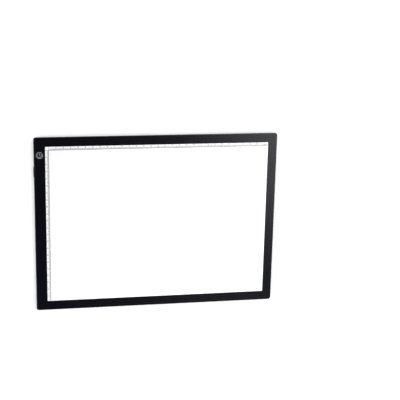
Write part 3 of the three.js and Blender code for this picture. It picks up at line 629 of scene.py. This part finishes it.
def softShadeGroup(setup):
    group = bpy.data.node_groups.new("softShade", "GeometryNodeTree")
    group.interface.new_socket("Geometry", in_out="INPUT", socket_type="NodeSocketGeometry")
    group.interface.new_socket("Geometry", in_out="OUTPUT", socket_type="NodeSocketGeometry")
    given = addNode(group, "NodeGroupInput")
    smooth = addNode(group, "GeometryNodeSetShadeSmooth", {"Shade Smooth": True}, {"Geometry": given})
    angle = addNode(group, "GeometryNodeInputMeshEdgeAngle").outputs["Unsigned Angle"]
    corner = addNode(group, "ShaderNodeMath", {
        "operation": "GREATER_THAN", 1: math.radians(setup["cornerDegrees"])}, {0: angle})
    crisp = addNode(group, "GeometryNodeSetShadeSmooth", {"domain": "EDGE", "Shade Smooth": False}, {
        "Geometry": smooth, "Selection": corner})
    addNode(group, "NodeGroupOutput", links={"Geometry": crisp})
    return group


def soften(piece, group, setup):
    piece.modifiers.new("weld", "WELD").merge_threshold = setup["seamMm"] * mm
    piece.modifiers.new("softShade", "NODES").node_group = group
    piece.modifiers.new("weighted", "WEIGHTED_NORMAL").keep_sharp = True


softShade = softShadeGroup(softenSetup)
roundedNodes = [name for name in nodes if name.startswith(softenSetup["starts"])]
for nodeName in roundedNodes:
    soften(nodes[nodeName], softShade, softenSetup)
print("softened", len(roundedNodes), "nodes")


# A new piece from mesh code, which rides on the pad's one body
def addPiece(name, mesh, material):
    form = bpy.data.meshes.new(name)
    mesh.to_mesh(form)
    mesh.free()
    form.materials.append(material)
    piece = bpy.data.objects.new(name, form)
    bpy.context.scene.collection.objects.link(piece)
    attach(piece, "root")
    return piece


# A rectangle of ink, as a closed thin film
def addInkBar(mesh, left, bottom, right, top, under, over):
    corners = [(left, bottom), (right, bottom), (right, top), (left, top)]
    lower = [mesh.verts.new((x, y, under)) for x, y in corners]
    upper = [mesh.verts.new((x, y, over)) for x, y in corners]
    mesh.faces.new(upper)
    mesh.faces.new(lower[::-1])
    for here in range(4):
        after = (here + 1) % 4
        mesh.faces.new([lower[here], lower[after], upper[after], upper[here]])


# Two rulers in millimetres, printed along the panel's top and left edges, with plain numbers
rulerSetup = {
    "lipMm": 3.0,           # the panel reaches this far under the bezel
    "zeroInMm": 4.8,        # both rulers start this far inside the bezel's edge
    "topMm": 304,           # length of the ruler at the top, and of the one on the left
    "leftMm": 216,
    "lineMm": 0.46,
    "tickWidthMm": 0.42,
    "tickMm": {10: 4.4, 5: 3.2, 1: 2.3},    # length of the tick at each multiple, the longest first
    "inkMm": 0.01,          # the ink reaches this far over the panel's face, and into it
    "weldMm": 0.0002,
    "numberEveryMm": 10,
    "numberMm": 1.7,        # height of a number
    "numberSteps": 3,       # in each of its curves
    "gapMm": 0.35,          # round a number
}


def tickLength(count, setup):
    return next(length for step, length in setup["tickMm"].items() if count % step == 0) * mm


# A plain number as a closed mesh: its lower left corner at the origin, and as deep below zero as above
def numberForm(text, height, depth, steps):
    curve = bpy.data.curves.new("number", "FONT")
    curve.body = text
    curve.resolution_u = steps
    curve.extrude = depth
    carrier = bpy.data.objects.new("number", curve)
    form = bpy.data.meshes.new_from_object(carrier)
    low = Vector([min(vert.co[axis] for vert in form.vertices) for axis in (0, 1)])
    high = max(vert.co.y for vert in form.vertices)
    share = height / (high - low.y)
    form.transform(Matrix.Diagonal((share, share, 1, 1)) @ Matrix.Translation((-low.x, -low.y, 0)))
    bpy.data.objects.remove(carrier)
    return form


def addRulers(setup, material):
    low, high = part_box("tracing_panel")
    zeroX = low.x + (setup["lipMm"] + setup["zeroInMm"]) * mm
    zeroY = high.y - (setup["lipMm"] + setup["zeroInMm"]) * mm
    ink = setup["inkMm"] * mm
    layer = (high.z - ink, high.z + ink)
    lineHalf = setup["lineMm"] * mm / 2
    half = setup["tickWidthMm"] * mm / 2
    endX = zeroX + setup["topMm"] * mm + half
    endY = zeroY - setup["leftMm"] * mm - half
    rulers = bmesh.new()
    addInkBar(rulers, zeroX - lineHalf, zeroY - lineHalf, endX, zeroY + lineHalf, *layer)
    addInkBar(rulers, zeroX - lineHalf, endY, zeroX + lineHalf, zeroY - lineHalf, *layer)
    for count in range(setup["topMm"] + 1):
        x = zeroX + count * mm
        addInkBar(rulers, x - half, zeroY + lineHalf, x + half, zeroY + tickLength(count, setup), *layer)
    for count in range(setup["leftMm"] + 1):
        y = zeroY - count * mm
        addInkBar(rulers, zeroX - tickLength(count, setup), y - half, zeroX - lineHalf, y + half, *layer)
    gap = setup["gapMm"] * mm
    clearOfTicks = setup["tickMm"][1] * mm + gap
    every = setup["numberEveryMm"]
    for count in range(every, setup["topMm"] + 1, every):
        form = numberForm(str(count // every), setup["numberMm"] * mm, ink, setup["numberSteps"])
        width = max(vert.co.x for vert in form.vertices)
        corner = (zeroX + count * mm - half - gap - width, zeroY + clearOfTicks, high.z)
        form.transform(Matrix.Translation(corner))
        rulers.from_mesh(form)
    for count in range(every, setup["leftMm"] + 1, every):
        form = numberForm(str(count // every), setup["numberMm"] * mm, ink, setup["numberSteps"])
        corner = (zeroX - clearOfTicks, zeroY - count * mm + half + gap, high.z)
        form.transform(Matrix.Translation(corner) @ Matrix.Rotation(math.pi / 2, 4, "Z"))
        rulers.from_mesh(form)
    bmesh.ops.remove_doubles(rulers, verts=rulers.verts, dist=setup["weldMm"] * mm)
    addPiece("rulers", rulers, material)


addRulers(rulerSetup, screenInk())
print("rulers printed")

# The mark over the touch electrode: a plain power sign in a ring
markSetup = {
    "shiftMm": (-0.35, 0.3),    # the print sits a little off the electrode's centre
    "ringMm": 9.1,              # outer diameter
    "ringLineMm": 0.44,
    "signMm": 5.4,              # outer diameter of the sign's arc
    "signLineMm": 0.4,
    "signDropMm": 0.2,          # the sign's centre lies this far below the ring's
    "openDegrees": 76,          # the sign's arc is open by this much at the top
    "barMm": 3.7,               # from the sign's centre upwards
    "steps": 72,                # round the ring, and along the arc
    "inkMm": 0.01,
}


# A band of ink round a centre, closed into a ring if it goes all the way
def addInkArc(mesh, centre, outer, width, start, turn, steps, under, over):
    rows = []
    whole = turn >= 2 * math.pi
    for step in range(steps if whole else steps + 1):
        angle = start + turn * step / steps
        away = Vector((math.cos(angle), math.sin(angle)))
        rows.append([
            mesh.verts.new((*(centre + away * radius), z))
            for radius, z in ((outer, under), (outer, over), (outer - width, over), (outer - width, under))])
    for here, after in zip(rows, rows[1:] + rows[:1] if whole else rows[1:]):
        for side in range(len(here)):
            following = (side + 1) % len(here)
            mesh.faces.new([here[side], after[side], after[following], here[following]])
    if not whole:
        mesh.faces.new(rows[0])
        mesh.faces.new(rows[-1][::-1])


def addTouchMark(setup, material):
    low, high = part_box("touch_electrode")
    centre = Vector(((low.x + high.x) / 2, (low.y + high.y) / 2)) + Vector(setup["shiftMm"]) * mm
    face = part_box("front_bezel")[1].z
    ink = setup["inkMm"] * mm
    layer = (face - ink, face + ink)
    mark = bmesh.new()
    addInkArc(
        mark, centre, setup["ringMm"] / 2 * mm, setup["ringLineMm"] * mm,
        0, 2 * math.pi, setup["steps"], *layer)
    centre.y -= setup["signDropMm"] * mm
    openHalf = math.radians(setup["openDegrees"]) / 2
    addInkArc(
        mark, centre, setup["signMm"] / 2 * mm, setup["signLineMm"] * mm,
        math.pi / 2 + openHalf, 2 * math.pi - 2 * openHalf, setup["steps"], *layer)
    barHalf = setup["signLineMm"] / 2 * mm
    addInkBar(
        mark, centre.x - barHalf, centre.y, centre.x + barHalf, centre.y + setup["barMm"] * mm, *layer)
    bmesh.ops.recalc_face_normals(mark, faces=mark.faces)
    addPiece("touch_mark", mark, material)


addTouchMark(markSetup, padInk())
print("touch mark printed")

# The socket's shell, folded from sheet: round bends, two lower corners cut away, a rolled lip at its mouth
shellSetup = {
    "sheetMm": 0.3,
    "cutShare": 0.34,       # the cut corners' share of the height
    "bendMm": 0.45,         # outer radius of each bend
    "bendSteps": 5,
    "lipSteps": 6,
}


# A closed outline with each corner turned into an arc
def roundedOutline(corners, radius, steps):
    outline = []
    for index, corner in enumerate(corners):
        back = (corners[index - 1] - corner).normalized()
        on = (corners[(index + 1) % len(corners)] - corner).normalized()
        halfAngle = back.angle(on) / 2
        centre = corner + (back + on).normalized() * radius / math.sin(halfAngle)
        reach = radius / math.tan(halfAngle)
        first = (corner + back * reach - centre).normalized()
        last = (corner + on * reach - centre).normalized()
        outline += [centre + first.slerp(last, step / steps) * radius for step in range(steps + 1)]
    return outline


def addSocketShell(setup, material):
    low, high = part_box("socket_shell")
    sheet = setup["sheetMm"] * mm

    def ring(mesh, x, inset):
        left, right, bottom, top = low.y + inset, high.y - inset, low.z + inset, high.z - inset
        cut = setup["cutShare"] * (top - bottom)
        corners = [Vector(point) for point in (
            (left + cut, bottom), (right - cut, bottom), (right, bottom + cut), (right, top), (left, top),
            (left, bottom + cut))]
        outline = roundedOutline(corners, setup["bendMm"] * mm - inset, setup["bendSteps"])
        return [mesh.verts.new((x, y, z)) for y, z in outline]

    stations = [(high.x, 0)]
    for step in range(setup["lipSteps"] + 1):
        angle = math.pi * step / setup["lipSteps"]
        stations.append((low.x + sheet / 2 * (1 - math.sin(angle)), sheet / 2 * (1 - math.cos(angle))))
    stations.append((high.x, sheet))
    shell = bmesh.new()
    rings = [ring(shell, x, inset) for x, inset in stations]
    for here, after in zip(rings, rings[1:] + rings[:1]):
        for index in range(len(here)):
            following = (index + 1) % len(here)
            shell.faces.new([here[index], after[index], after[following], here[following]])
    bmesh.ops.recalc_face_normals(shell, faces=shell.faces)
    return addPiece("folded_socket_shell", shell, material)


socketShell = addSocketShell(shellSetup, finishes["socket_shell"])
soften(socketShell, softShade, softenSetup)
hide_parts("socket_shell")
print("socket shell folded")
